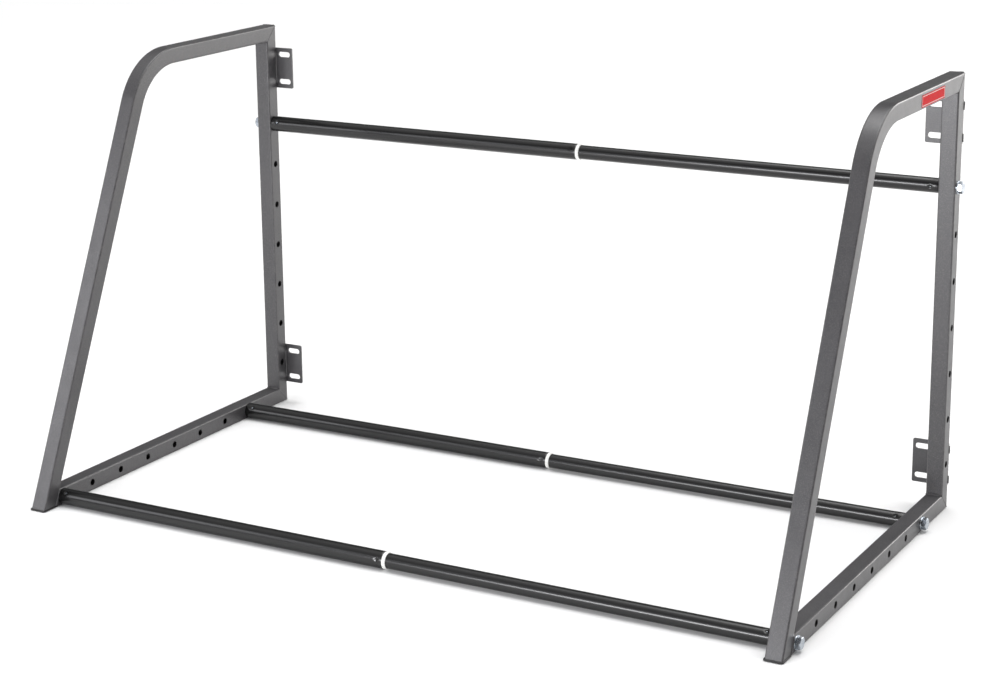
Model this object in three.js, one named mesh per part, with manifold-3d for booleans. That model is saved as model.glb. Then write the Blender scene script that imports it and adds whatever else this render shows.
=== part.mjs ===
// Adjustable tyre storage rack.
//
// Two side frames of square steel tube stand on the floor and bolt to a wall. Three round telescopic
// crossbars join them: two low ones carry the tyres and one high at the back steadies the frames.
// The left half of each bar is an outer tube, the right half an inner tube that slides in it through
// a nylon bush, so the right half of the rack moves along X and sets the width.
//
// Millimetres. X runs along the rack, +Y points at the wall and +Z up. The origin is at the bottom
// centre of the rack's box, on the floor.

import * as THREE from 'three';
import { mergeVertices } from 'three/addons/utils/BufferGeometryUtils.js';
import Module from 'manifold-3d';

const wasm = await Module();
wasm.setup();

// ---------------------------------------------------------------- driving dimensions

// Overall sizes: width over the side frames, depth from the toe of the foot to the back of the post.
const RACK_WIDTH = 1219;
const RACK_DEPTH = 655;
const RACK_HEIGHT = 659;

// Square tube of the side frames.
const TUBE = 25.4;
const TUBE_WALL = 1.5;
const TUBE_CORNER = 3;
const UPRIGHT_LEAN = THREE.MathUtils.degToRad(24.2);
const BEND_RADIUS = 105.8;

// Rows of bolt holes, from the toe of the foot and from the floor. The last hole keeps a margin.
const HOLE_PITCH = 70.3;
const RAIL_FIRST_HOLE = 46.4;
const RAIL_HOLE_MARGIN = 40;
const POST_FIRST_HOLE = 71.6;
const POST_HOLE_MARGIN = 100;

// Wall brackets: flat plates welded behind the posts, each with two level slots.
const BRACKET_HEIGHT = 68;
const BRACKET_REACH = 31;
const BRACKET_THICKNESS = 3;
const BRACKET_CORNER = 2.5;
const BRACKET_SETBACK = 0.8;
const UPPER_BRACKET_DROP = 38;
const LOWER_BRACKET_RISE = 33;
const SLOT_LENGTH = 23;
const SLOT_WIDTH = 9;
const SLOT_EDGE_DISTANCE = 11;

// Telescopic crossbars.
const OUTER_BAR_DIAMETER = 25.4;
const OUTER_BAR_WALL = 0.9;
const INNER_BAR_WALL = 1.2;
const BAR_OVERLAP = 140;
const BUSH_LIP_LENGTH = 5.5;
const BUSH_LIP_EDGE = 0.5;
const BUSH_LIP_SHOULDER = 0.6;
const BUSH_SLEEVE_LENGTH = 18;
const BUSH_SLEEVE_WALL = 0.5;
const BUSH_CLEARANCE = 0.1;

// Threaded inserts in the bar ends.
const INSERT_LENGTH = 25;
const INSERT_CLEARANCE = 0.15;
const THREAD_CLEARANCE = 0.15;

// Hex bolts and washers.
const BOLT_DIAMETER = 10;
const BOLT_ENGAGEMENT = 20;
const BOLT_HOLE_CLEARANCE = 0.25;
const BOLT_TIP_CHAMFER = 1;
const HEX_ACROSS_FLATS = 16;
const HEX_HEIGHT = 6.4;
const WASHER_DIAMETER = 20;
const WASHER_THICKNESS = 2;
const WASHER_CLEARANCE = 0.3;

// Push-in foot caps.
const CAP_LIP = 2;
const CAP_PLUG_LENGTH = 16;
const CAP_PLUG_CLEARANCE = 0.3;

// Plain label on the right top rail.
const LABEL_LENGTH = 98;
const LABEL_HEIGHT = 17;
const LABEL_THICKNESS = 0.3;
const LABEL_CORNER = 1.5;
const LABEL_DROP = 14;

// Gaps: between pieces that are welded or pressed together, and between parts clamped by a bolt.
const JOIN_GAP = 0.3;
const CLAMP_GAP = 0.1;

// Facets of round shapes. The arcs of flat outlines are divided by the quarter turn.
const BEND_FACETS = 6;
const PLATE_ARC_FACETS = 3;
const CORNER_FACETS = 2;
const BAR_FACETS = 24;
const HOLE_FACETS = 16;

// ---------------------------------------------------------------- places worked out from them

const LEFT = -1;
const RIGHT = 1;
const BACK_Y = (RACK_DEPTH - JOIN_GAP - BRACKET_THICKNESS) / 2;
const TOE_Y = BACK_Y - RACK_DEPTH;
const OUTER_FACE_X = RACK_WIDTH / 2;
const INNER_FACE_X = OUTER_FACE_X - TUBE;
const FRAME_X = OUTER_FACE_X - TUBE / 2;
const POST_Y = BACK_Y - TUBE / 2;

// The bottom rail's holes are at its mid height, or higher where a thicker bar has to clear the floor.
const RAIL_HOLE_Z = Math.max(TUBE, OUTER_BAR_DIAMETER) / 2;
const HOLE_RADIUS = BOLT_DIAMETER / 2 + BOLT_HOLE_CLEARANCE;
const railHoleRun = RACK_DEPTH - TUBE - RAIL_FIRST_HOLE - RAIL_HOLE_MARGIN;
const postHoleRun = RACK_HEIGHT - TUBE - POST_FIRST_HOLE - POST_HOLE_MARGIN;
const RAIL_HOLES = holeRow(TOE_Y + RAIL_FIRST_HOLE, railHoleRun);
const POST_HOLES = holeRow(POST_FIRST_HOLE, postHoleRun);

// The three bars run along X through these points of the side frames.
const BARS = [
  { name: 'front', y: RAIL_HOLES[0], z: RAIL_HOLE_Z },
  { name: 'rear', y: RAIL_HOLES.at(-1), z: RAIL_HOLE_Z },
  { name: 'upper', y: POST_Y, z: POST_HOLES.at(-1) },
];

const OUTER_BORE_RADIUS = OUTER_BAR_DIAMETER / 2 - OUTER_BAR_WALL;
const INNER_BAR_RADIUS = OUTER_BORE_RADIUS - BUSH_SLEEVE_WALL - 2 * BUSH_CLEARANCE;
const INNER_BORE_RADIUS = INNER_BAR_RADIUS - INNER_BAR_WALL;
const BAR_END_X = INNER_FACE_X - JOIN_GAP;
const MOUTH_X = -BUSH_LIP_LENGTH;

// Positions of equal pitch along a run, as many as fit.
function holeRow(first, run) {
  const count = Math.floor(run / HOLE_PITCH) + 1;
  return Array.from({ length: count }, (_, i) => first + i * HOLE_PITCH);
}

// ---------------------------------------------------------------- materials

function finish(color, roughness, metalness) {
  return new THREE.MeshStandardMaterial({ color, roughness, metalness });
}

const POWDER_COAT = finish(0x3b3b3e, 0.5, 0.3);
const BAR_PAINT = finish(0x1c1c1e, 0.3, 0.4);
const ZINC = finish(0xc9ced2, 0.3, 1);
const NYLON = finish(0xf4f4f2, 0.4, 0);
const BLACK_PLASTIC = finish(0x161616, 0.6, 0);
const LABEL_RED = finish(0xd8352f, 0.5, 0);

// ---------------------------------------------------------------- solids

const rack = new THREE.Group();

// Turns a three.js geometry into a solid that can be joined and cut.
function solidOf(geometry) {
  const bare = geometry.clone();
  bare.deleteAttribute('normal');
  bare.deleteAttribute('uv');
  const merged = mergeVertices(bare, 1e-4);
  return new wasm.Manifold(new wasm.Mesh({
    numProp: 3,
    vertProperties: merged.attributes.position.array,
    triVerts: new Uint32Array(merged.index.array),
  }));
}

function geometryOf(solid) {
  const mesh = solid.getMesh();
  const geometry = new THREE.BufferGeometry();
  geometry.setAttribute('position', new THREE.BufferAttribute(mesh.vertProperties, 3));
  geometry.setIndex(new THREE.BufferAttribute(mesh.triVerts, 1));
  geometry.computeVertexNormals();
  return geometry;
}

function addPiece(name, geometry, material, x = 0, y = 0, z = 0) {
  const mesh = new THREE.Mesh(geometry, material);
  mesh.name = name;
  mesh.position.set(x, y, z);
  rack.add(mesh);
  return mesh;
}

function sideName(side) {
  return side === LEFT ? 'left' : 'right';
}

// An outline in the YZ plane, made `width` thick along X about X = 0, with its edges rounded.
function slab(outline, width, round, arcFacets) {
  const geometry = new THREE.ExtrudeGeometry(outline, {
    depth: width - 2 * round,
    curveSegments: arcFacets,
    bevelEnabled: round > 0,
    bevelThickness: round,
    bevelSize: round,
    bevelOffset: -round,
    bevelSegments: CORNER_FACETS,
  });
  geometry.translate(0, 0, round - width / 2);
  const yzx = new THREE.Matrix4().makeBasis(
    new THREE.Vector3(0, 1, 0),
    new THREE.Vector3(0, 0, 1),
    new THREE.Vector3(1, 0, 0),
  );
  return geometry.applyMatrix4(yzx);
}

// Square tube from its outline: `outlineAt(inset)` gives the outline drawn in by `inset`.
function squareTube(outlineAt) {
  const skin = slab(outlineAt(0), TUBE, TUBE_CORNER, BEND_FACETS);
  const boreWidth = TUBE - 2 * TUBE_WALL;
  const boreRound = Math.max(0, TUBE_CORNER - TUBE_WALL);
  const bore = slab(outlineAt(TUBE_WALL), boreWidth, boreRound, BEND_FACETS);
  return solidOf(skin).subtract(solidOf(bore));
}

// Cuts off what lies past a plane through (y, z) that faces `angle`, measured from +Y towards +Z.
function trim(solid, y, z, angle) {
  const reach = 6 * TUBE;
  const block = new THREE.BoxGeometry(reach, reach, reach);
  block.translate(0, reach / 2, 0);
  block.rotateX(angle);
  block.translate(0, y, z);
  return solid.subtract(solidOf(block));
}

// A solid of revolution along X. The profile is a closed loop of [x, radius] points.
function turned(profile, facets) {
  const points = profile.map(([x, radius]) => new THREE.Vector2(radius, x));
  points.push(points[0].clone());
  return new THREE.LatheGeometry(points, facets).rotateZ(-Math.PI / 2);
}

// A plain ring or sleeve along X.
function sleeve(x0, x1, innerRadius, outerRadius, facets) {
  return turned([[x0, innerRadius], [x0, outerRadius], [x1, outerRadius], [x1, innerRadius]], facets);
}

function drillThroughX(solid, holes) {
  let drilled = solid;
  for (const [y, z] of holes) {
    const drill = new THREE.CylinderGeometry(HOLE_RADIUS, HOLE_RADIUS, 2 * TUBE, HOLE_FACETS);
    drill.rotateZ(Math.PI / 2);
    drill.translate(0, y, z);
    drilled = drilled.subtract(solidOf(drill));
  }
  return drilled;
}

function roundedRectangle(x0, y0, x1, y1, radius) {
  const shape = new THREE.Shape();
  shape.moveTo(x0 + radius, y0);
  shape.lineTo(x1 - radius, y0);
  shape.absarc(x1 - radius, y0 + radius, radius, -Math.PI / 2, 0, false);
  shape.lineTo(x1, y1 - radius);
  shape.absarc(x1 - radius, y1 - radius, radius, 0, Math.PI / 2, false);
  shape.lineTo(x0 + radius, y1);
  shape.absarc(x0 + radius, y1 - radius, radius, Math.PI / 2, Math.PI, false);
  shape.lineTo(x0, y0 + radius);
  shape.absarc(x0 + radius, y0 + radius, radius, Math.PI, 1.5 * Math.PI, false);
  return shape;
}

// ---------------------------------------------------------------- side frames

// The upright leans back from the toe and bends into the level top rail.
const LEAN_COS = Math.cos(UPRIGHT_LEAN);
const LEAN_SIN = Math.sin(UPRIGHT_LEAN);
const BEND_OUTER_RADIUS = BEND_RADIUS + TUBE / 2;
const BEND_Z = RACK_HEIGHT - BEND_OUTER_RADIUS;
const BEND_Y = TOE_Y + (BEND_OUTER_RADIUS + BEND_Z * LEAN_SIN) / LEAN_COS;
const MITRE = Math.PI / 4;
const MITRE_SHIFT = JOIN_GAP / 2 / Math.cos(MITRE);

// Outline of the upright and top rail. It runs past both ends, which are trimmed afterwards.
function uprightOutline(inset) {
  const outer = BEND_OUTER_RADIUS - inset;
  const inner = BEND_OUTER_RADIUS - TUBE + inset;
  const start = Math.PI - UPRIGHT_LEAN;
  const belowFloor = (radius) => {
    const slope = (BEND_Z + radius * LEAN_SIN + TUBE) / LEAN_COS;
    return [BEND_Y - radius * LEAN_COS - slope * LEAN_SIN, -TUBE];
  };
  const shape = new THREE.Shape();
  shape.moveTo(...belowFloor(inner));
  shape.lineTo(...belowFloor(outer));
  shape.absarc(BEND_Y, BEND_Z, outer, start, Math.PI / 2, true);
  shape.lineTo(BACK_Y + TUBE, BEND_Z + outer);
  shape.lineTo(BACK_Y + TUBE, BEND_Z + inner);
  shape.absarc(BEND_Y, BEND_Z, inner, Math.PI / 2, start, false);
  return shape;
}

function uprightGeometry() {
  const tube = squareTube(uprightOutline);
  const cutAtFloor = trim(tube, TOE_Y, CAP_LIP + CLAMP_GAP, -Math.PI / 2);
  return geometryOf(trim(cutAtFloor, BACK_Y, RACK_HEIGHT + MITRE_SHIFT, -MITRE));
}

function postGeometry() {
  const outlineAt = (inset) => new THREE.Shape([
    new THREE.Vector2(BACK_Y - TUBE + inset, -TUBE),
    new THREE.Vector2(BACK_Y - inset, -TUBE),
    new THREE.Vector2(BACK_Y - inset, RACK_HEIGHT + TUBE),
    new THREE.Vector2(BACK_Y - TUBE + inset, RACK_HEIGHT + TUBE),
  ]);
  const topCut = trim(squareTube(outlineAt), BACK_Y, RACK_HEIGHT - MITRE_SHIFT, Math.PI - MITRE);
  const cut = trim(topCut, BACK_Y, MITRE_SHIFT, Math.PI + MITRE);
  return geometryOf(drillThroughX(cut, POST_HOLES.map((z) => [POST_Y, z])));
}

// The bottom rail butts against the back of the upright and is mitred to the post.
function railGeometry() {
  const outlineAt = (inset) => new THREE.Shape([
    new THREE.Vector2(TOE_Y - TUBE, inset),
    new THREE.Vector2(BACK_Y + TUBE, inset),
    new THREE.Vector2(BACK_Y + TUBE, TUBE - inset),
    new THREE.Vector2(TOE_Y - TUBE, TUBE - inset),
  ]);
  const butt = TUBE + JOIN_GAP;
  const frontCut = trim(
    squareTube(outlineAt),
    TOE_Y + butt * LEAN_COS,
    -butt * LEAN_SIN,
    Math.PI - UPRIGHT_LEAN,
  );
  const cut = trim(frontCut, BACK_Y, -MITRE_SHIFT, MITRE);
  return geometryOf(drillThroughX(cut, RAIL_HOLES.map((y) => [y, RAIL_HOLE_Z])));
}

// The foot cap's lip covers the tube's end on the floor and its plug leans up the bore.
function footCapGeometry() {
  const span = TUBE / LEAN_COS;
  const lip = new THREE.ExtrudeGeometry(
    roundedRectangle(-TUBE / 2, TOE_Y, TUBE / 2, TOE_Y + span, TUBE_CORNER),
    { depth: CAP_LIP, bevelEnabled: false, curveSegments: CORNER_FACETS },
  );
  const side = TUBE_WALL + CAP_PLUG_CLEARANCE;
  const tip = CAP_LIP + CAP_PLUG_LENGTH;
  const frontAt = (z) => TOE_Y + side / LEAN_COS + z * Math.tan(UPRIGHT_LEAN);
  const backAt = (z) => TOE_Y + (TUBE - side) / LEAN_COS + z * Math.tan(UPRIGHT_LEAN);
  const plugOutline = new THREE.Shape([
    new THREE.Vector2(frontAt(0), 0),
    new THREE.Vector2(backAt(0), 0),
    new THREE.Vector2(backAt(tip), tip),
    new THREE.Vector2(frontAt(tip), tip),
  ]);
  const plugRound = Math.max(0, TUBE_CORNER - side);
  const plug = slab(plugOutline, TUBE - 2 * side, plugRound, CORNER_FACETS);
  return geometryOf(solidOf(lip).add(solidOf(plug)));
}

// A level slot with round ends, about its middle.
function slotOutline(x, z) {
  const radius = SLOT_WIDTH / 2;
  const reach = SLOT_LENGTH / 2 - radius;
  const slot = new THREE.Path();
  slot.moveTo(x - reach, z - radius);
  slot.lineTo(x + reach, z - radius);
  slot.absarc(x + reach, z, radius, -Math.PI / 2, Math.PI / 2, false);
  slot.lineTo(x - reach, z + radius);
  slot.absarc(x - reach, z, radius, Math.PI / 2, 1.5 * Math.PI, false);
  return slot;
}

// A bracket plate lies behind the post and reaches past its inner face, where its slots are.
function bracketGeometry(side, bottom) {
  const edges = [side * (OUTER_FACE_X - BRACKET_SETBACK), side * (INNER_FACE_X - BRACKET_REACH)];
  const plate = roundedRectangle(
    Math.min(...edges), bottom, Math.max(...edges), bottom + BRACKET_HEIGHT, BRACKET_CORNER,
  );
  const slotX = side * (INNER_FACE_X - BRACKET_REACH / 2);
  for (const slotZ of [bottom + SLOT_EDGE_DISTANCE, bottom + BRACKET_HEIGHT - SLOT_EDGE_DISTANCE]) {
    plate.holes.push(slotOutline(slotX, slotZ));
  }
  const geometry = new THREE.ExtrudeGeometry(plate, {
    depth: BRACKET_THICKNESS,
    bevelEnabled: false,
    curveSegments: PLATE_ARC_FACETS,
  });
  return geometry.rotateX(Math.PI / 2).translate(0, BACK_Y + JOIN_GAP + BRACKET_THICKNESS, 0);
}

for (const side of [LEFT, RIGHT]) {
  const name = sideName(side);
  addPiece(`${name}_upright`, uprightGeometry(), POWDER_COAT, side * FRAME_X);
  addPiece(`${name}_post`, postGeometry(), POWDER_COAT, side * FRAME_X);
  addPiece(`${name}_bottom_rail`, railGeometry(), POWDER_COAT, side * FRAME_X);
  const upperBottom = RACK_HEIGHT - UPPER_BRACKET_DROP - BRACKET_HEIGHT;
  addPiece(`${name}_upper_bracket`, bracketGeometry(side, upperBottom), POWDER_COAT);
  addPiece(`${name}_lower_bracket`, bracketGeometry(side, LOWER_BRACKET_RISE), POWDER_COAT);
  addPiece(`${name}_foot_cap`, footCapGeometry(), BLACK_PLASTIC, side * FRAME_X);
}

// ---------------------------------------------------------------- crossbars

// The bush's sleeve sits in the outer tube's mouth and its domed lip covers the tube's edge.
function bushGeometry() {
  const boreRadius = INNER_BAR_RADIUS + BUSH_CLEARANCE;
  const sleeveRadius = OUTER_BORE_RADIUS - BUSH_CLEARANCE;
  const lipRadius = OUTER_BAR_DIAMETER / 2;
  const lipRoot = MOUTH_X + CLAMP_GAP;
  const lipTip = MOUTH_X + BUSH_LIP_LENGTH;
  return turned([
    [MOUTH_X - BUSH_SLEEVE_LENGTH, boreRadius],
    [MOUTH_X - BUSH_SLEEVE_LENGTH, sleeveRadius],
    [lipRoot, sleeveRadius],
    [lipRoot, lipRadius],
    [(lipRoot + lipTip) / 2, lipRadius - BUSH_LIP_SHOULDER],
    [lipTip, boreRadius + BUSH_LIP_EDGE],
    [lipTip, boreRadius],
  ], BAR_FACETS);
}

// A threaded plug, with its outer end flush with the end of the bar.
function insertGeometry(boreRadius) {
  const plugRadius = boreRadius - INSERT_CLEARANCE;
  return sleeve(0, INSERT_LENGTH, BOLT_DIAMETER / 2 + THREAD_CLEARANCE, plugRadius, BAR_FACETS);
}

for (const { name, y, z } of BARS) {
  const outerTube = sleeve(-BAR_END_X, MOUTH_X, OUTER_BORE_RADIUS, OUTER_BAR_DIAMETER / 2, BAR_FACETS);
  const innerEnd = MOUTH_X - BAR_OVERLAP;
  const innerTube = sleeve(innerEnd, BAR_END_X, INNER_BORE_RADIUS, INNER_BAR_RADIUS, BAR_FACETS);
  addPiece(`${name}_outer_tube`, outerTube, BAR_PAINT, 0, y, z);
  addPiece(`${name}_inner_tube`, innerTube, BAR_PAINT, 0, y, z);
  addPiece(`${name}_bush`, bushGeometry(), NYLON, 0, y, z);
  addPiece(`${name}_left_insert`, insertGeometry(OUTER_BORE_RADIUS), ZINC, -BAR_END_X, y, z);
  const rightInsertX = BAR_END_X - INSERT_LENGTH;
  addPiece(`${name}_right_insert`, insertGeometry(INNER_BORE_RADIUS), ZINC, rightInsertX, y, z);
}

// ---------------------------------------------------------------- fasteners

// A hex bolt with its seat at X = 0 and its head towards +X.
function boltGeometry() {
  const shankRadius = BOLT_DIAMETER / 2;
  const length = CLAMP_GAP + WASHER_THICKNESS + CLAMP_GAP + TUBE + JOIN_GAP + BOLT_ENGAGEMENT;
  const shank = turned([
    [-length, 0],
    [-length, shankRadius - BOLT_TIP_CHAMFER],
    [BOLT_TIP_CHAMFER - length, shankRadius],
    [HEX_HEIGHT / 2, shankRadius],
    [HEX_HEIGHT / 2, 0],
  ], HOLE_FACETS);
  const cornerRadius = HEX_ACROSS_FLATS / 2 / Math.cos(Math.PI / 6);
  const head = new THREE.CylinderGeometry(cornerRadius, cornerRadius, HEX_HEIGHT, 6);
  head.rotateZ(Math.PI / 2).translate(HEX_HEIGHT / 2, 0, 0);
  return geometryOf(solidOf(shank).add(solidOf(head)));
}

function washerGeometry() {
  const boreRadius = BOLT_DIAMETER / 2 + WASHER_CLEARANCE;
  return sleeve(0, WASHER_THICKNESS, boreRadius, WASHER_DIAMETER / 2, BAR_FACETS);
}

for (const side of [LEFT, RIGHT]) {
  for (const { name, y, z } of BARS) {
    const washerX = OUTER_FACE_X + CLAMP_GAP;
    const boltX = washerX + WASHER_THICKNESS + CLAMP_GAP;
    const label = `${sideName(side)}_${name}`;
    const washer = addPiece(`${label}_washer`, washerGeometry(), ZINC, side * washerX, y, z);
    const bolt = addPiece(`${label}_bolt`, boltGeometry(), ZINC, side * boltX, y, z);
    if (side === LEFT) {
      washer.rotation.z = Math.PI;
      bolt.rotation.z = Math.PI;
    }
  }
}

// ---------------------------------------------------------------- label

const labelMiddleY = (BEND_Y + BACK_Y) / 2;
const labelMiddleZ = RACK_HEIGHT - LABEL_DROP;
const labelOutline = roundedRectangle(
  labelMiddleY - LABEL_LENGTH / 2, labelMiddleZ - LABEL_HEIGHT / 2,
  labelMiddleY + LABEL_LENGTH / 2, labelMiddleZ + LABEL_HEIGHT / 2, LABEL_CORNER,
);
const labelX = OUTER_FACE_X + CLAMP_GAP + LABEL_THICKNESS / 2;
const labelGeometry = slab(labelOutline, LABEL_THICKNESS, 0, CORNER_FACETS);
addPiece('label', labelGeometry, LABEL_RED, labelX);

export default rack;
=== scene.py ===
"""Looks of the adjustable tyre storage rack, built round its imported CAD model.

Metres, in the CAD frame: X runs along the rack, +Y points at the wall and +Z up.
The left half of the rack is one body. The right half is the other body, and slides along X.
"""

import math

import bmesh
import bpy
from mathutils import Matrix, Vector, noise


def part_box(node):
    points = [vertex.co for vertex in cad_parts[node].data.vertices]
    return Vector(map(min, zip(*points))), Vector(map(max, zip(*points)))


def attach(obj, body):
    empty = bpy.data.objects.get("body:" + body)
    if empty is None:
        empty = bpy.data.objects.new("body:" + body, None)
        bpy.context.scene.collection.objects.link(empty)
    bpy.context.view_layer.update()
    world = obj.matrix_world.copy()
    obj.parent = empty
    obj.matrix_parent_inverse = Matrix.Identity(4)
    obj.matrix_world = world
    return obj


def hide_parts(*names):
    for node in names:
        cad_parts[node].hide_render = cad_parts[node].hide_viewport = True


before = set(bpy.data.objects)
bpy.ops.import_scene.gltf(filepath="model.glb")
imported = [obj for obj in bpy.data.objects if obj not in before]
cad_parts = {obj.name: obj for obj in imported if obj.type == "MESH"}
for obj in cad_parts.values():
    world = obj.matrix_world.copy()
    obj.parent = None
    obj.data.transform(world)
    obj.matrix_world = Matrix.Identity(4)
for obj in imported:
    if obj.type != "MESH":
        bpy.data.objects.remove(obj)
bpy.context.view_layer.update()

MM = 0.001
LEFT, RIGHT = -1, 1
BARS = ("front", "rear", "upper")

# ---------------------------------------------------------------- sizes read from the frame

POST_LOW, POST_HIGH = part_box("right_post")
TUBE = POST_HIGH.x - POST_LOW.x
OUTER_X = POST_HIGH.x
INNER_X = POST_LOW.x
FRAME_X = (OUTER_X + INNER_X) / 2
BACK_Y = POST_HIGH.y
TOE_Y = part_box("right_foot_cap")[0].y
TOP_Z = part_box("right_upright")[1].z


def middle(node):
    low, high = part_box(node)
    return (low + high) / 2


BAR_AT = {name: middle(f"{name}_outer_tube") for name in BARS}

# ---------------------------------------------------------------- sizes of the frames' square tube

WALL = 1.5 * MM
CORNER = 2.2 * MM
LEAN = math.radians(24.2)
BEND_RADIUS = 105.8 * MM
RAIL_HOLES = 8
POST_HOLES = 7
HOLE_RADIUS = 5.25 * MM
HOLE_EDGE = 0.35 * MM

# (Y, Z) of each bolt hole, at one pitch. The bars are in the rail's end holes and the post's top one.
HOLE_PITCH = (BAR_AT["rear"].y - BAR_AT["front"].y) / (RAIL_HOLES - 1)
RAIL_HOLE_AT = [(BAR_AT["front"].y + i * HOLE_PITCH, BAR_AT["front"].z) for i in range(RAIL_HOLES)]
POST_HOLE_AT = [(BAR_AT["upper"].y, BAR_AT["upper"].z - i * HOLE_PITCH) for i in range(POST_HOLES)]

# The centre of the upright's bend, whose outer side meets the top and the leaning front face.
LEAN_COS, LEAN_SIN = math.cos(LEAN), math.sin(LEAN)
BEND_OUTER = BEND_RADIUS + TUBE / 2
BEND_Z = TOP_Z - BEND_OUTER
BEND_Y = TOE_Y + (BEND_OUTER + BEND_Z * LEAN_SIN) / LEAN_COS

# ---------------------------------------------------------------- sizes of the crossbars' round tube

OUTER_BAR_RADIUS = 12.7 * MM
OUTER_BAR_WALL = 0.9 * MM
INNER_BAR_RADIUS = 11.1 * MM
INNER_BAR_WALL = 1.2 * MM


# ---------------------------------------------------------------- materials

# The mesh attribute that is 1 along the edges that wear.
EDGE_MASK = "edge"


def node_material(name):
    material = bpy.data.materials.new(name)
    material.use_nodes = True
    tree = material.node_tree
    return material, tree, tree.nodes["Principled BSDF"]


def add(tree, kind, **inputs):
    """A shader node with these inputs: a plain value is set, and another node's output is linked."""
    made = tree.nodes.new(kind)
    for key, value in inputs.items():
        socket = made.inputs[key.replace("_", " ")]
        if isinstance(value, bpy.types.NodeSocket):
            tree.links.new(value, socket)
        else:
            socket.default_value = value
    return made


def place(tree):
    return tree.nodes.new("ShaderNodeTexCoord").outputs["Object"]


def grain(tree, scale, detail=3.0, roughness=0.55, stretch=None):
    """Noise of so many cells a metre, stretched along the axes if asked."""
    at = place(tree)
    if stretch:
        at = add(tree, "ShaderNodeMapping", Vector=at, Scale=stretch).outputs["Vector"]
    made = add(tree, "ShaderNodeTexNoise", Vector=at, Scale=scale, Detail=detail, Roughness=roughness)
    return made.outputs["Fac"]


def ramp(tree, value, low, high, low_at=0.0, high_at=1.0):
    """A value between low and high as the input goes from low_at to high_at."""
    made = tree.nodes.new("ShaderNodeMapRange")
    tree.links.new(value, made.inputs["Value"])
    made.inputs["From Min"].default_value = low_at
    made.inputs["From Max"].default_value = high_at
    made.inputs["To Min"].default_value = low
    made.inputs["To Max"].default_value = high
    return made.outputs["Result"]


def blend_colour(tree, factor, first, second):
    made = tree.nodes.new("ShaderNodeMix")
    made.data_type = "RGBA"
    tree.links.new(factor, made.inputs["Factor"])
    for key, value in (("A", first), ("B", second)):
        socket = next(s for s in made.inputs if s.name == key and s.type == "RGBA")
        if isinstance(value, bpy.types.NodeSocket):
            tree.links.new(value, socket)
        else:
            socket.default_value = (*value, 1.0)
    return next(s for s in made.outputs if s.type == "RGBA")


def multiply(tree, first, second):
    made = tree.nodes.new("ShaderNodeMath")
    made.operation = "MULTIPLY"
    for socket, value in zip(made.inputs, (first, second)):
        tree.links.new(value, socket)
    return made.outputs[0]


def bump(tree, shader, *layers):
    """Stacked bumps, each (height, strength, depth in metres)."""
    normal = None
    for height, strength, depth in layers:
        made = add(tree, "ShaderNodeBump", Height=height, Strength=strength, Distance=depth)
        if normal is not None:
            tree.links.new(normal, made.inputs["Normal"])
        normal = made.outputs["Normal"]
    tree.links.new(normal, shader.inputs["Normal"])


def edge_mask(tree):
    """1 along the edges that the meshes mark, 0 elsewhere."""
    made = tree.nodes.new("ShaderNodeAttribute")
    made.attribute_name = EDGE_MASK
    return made.outputs["Fac"]


def painted(name, colour, worn, roughness, uneven, peel, fleck, shine):
    """Sprayed or powder-baked paint: orange peel, faint clouding, fine flecks and rubbed edges.
    uneven is how far the roughness wanders, peel the strength of the orange peel, and fleck how
    much of the worn colour shows in the flecks."""
    material, tree, shader = node_material(name)
    clouds = ramp(tree, grain(tree, scale=9.0, detail=4.0), low=0, high=1, low_at=0.3, high_at=0.7)
    base = blend_colour(tree, clouds, colour, [c * 1.16 for c in colour])
    flecks = grain(tree, scale=1150.0, detail=2.0)
    speckle = ramp(tree, flecks, low=0, high=fleck, low_at=0.5, high_at=0.72)
    flecked = blend_colour(tree, speckle, base, worn)
    rubs = grain(tree, scale=160.0, detail=5.0, roughness=0.7)
    wear = multiply(tree, edge_mask(tree), ramp(tree, rubs, low=0, high=0.55, low_at=0.42, high_at=0.72))
    tree.links.new(blend_colour(tree, wear, flecked, worn), shader.inputs["Base Color"])
    patches = grain(tree, scale=45.0, detail=5.0, roughness=0.65)
    spread = ramp(tree, patches, roughness - uneven, roughness + uneven, low_at=0.3, high_at=0.7)
    tree.links.new(spread, shader.inputs["Roughness"])
    shader.inputs["Specular IOR Level"].default_value = shine
    orange_peel = grain(tree, scale=420.0, detail=2.0)
    bump(tree, shader, (orange_peel, peel, 0.25 * MM), (flecks, peel * 0.4, 0.05 * MM))
    return material


def zinc_plate(name):
    """Bright bluish zinc: fine brushing, passivation clouds and slightly dull corners."""
    pale, blue, dull = (0.48, 0.51, 0.54), (0.37, 0.415, 0.475), (0.74, 0.75, 0.75)
    material, tree, shader = node_material(name)
    colour = blend_colour(tree, grain(tree, scale=130.0, detail=4.0), pale, blue)
    patches = ramp(tree, grain(tree, scale=500.0), low=0, high=0.5, low_at=0.4, high_at=0.7)
    rubs = multiply(tree, edge_mask(tree), patches)
    tree.links.new(blend_colour(tree, rubs, colour, dull), shader.inputs["Base Color"])
    shader.inputs["Metallic"].default_value = 1.0
    spread = ramp(tree, grain(tree, scale=700.0), low=0.2, high=0.34, low_at=0.3, high_at=0.7)
    tree.links.new(spread, shader.inputs["Roughness"])
    brushing = grain(tree, scale=900.0, detail=2.0, roughness=0.5, stretch=(0.3, 1.0, 1.0))
    bump(tree, shader, (brushing, 0.12, 0.06 * MM))
    return material


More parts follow.
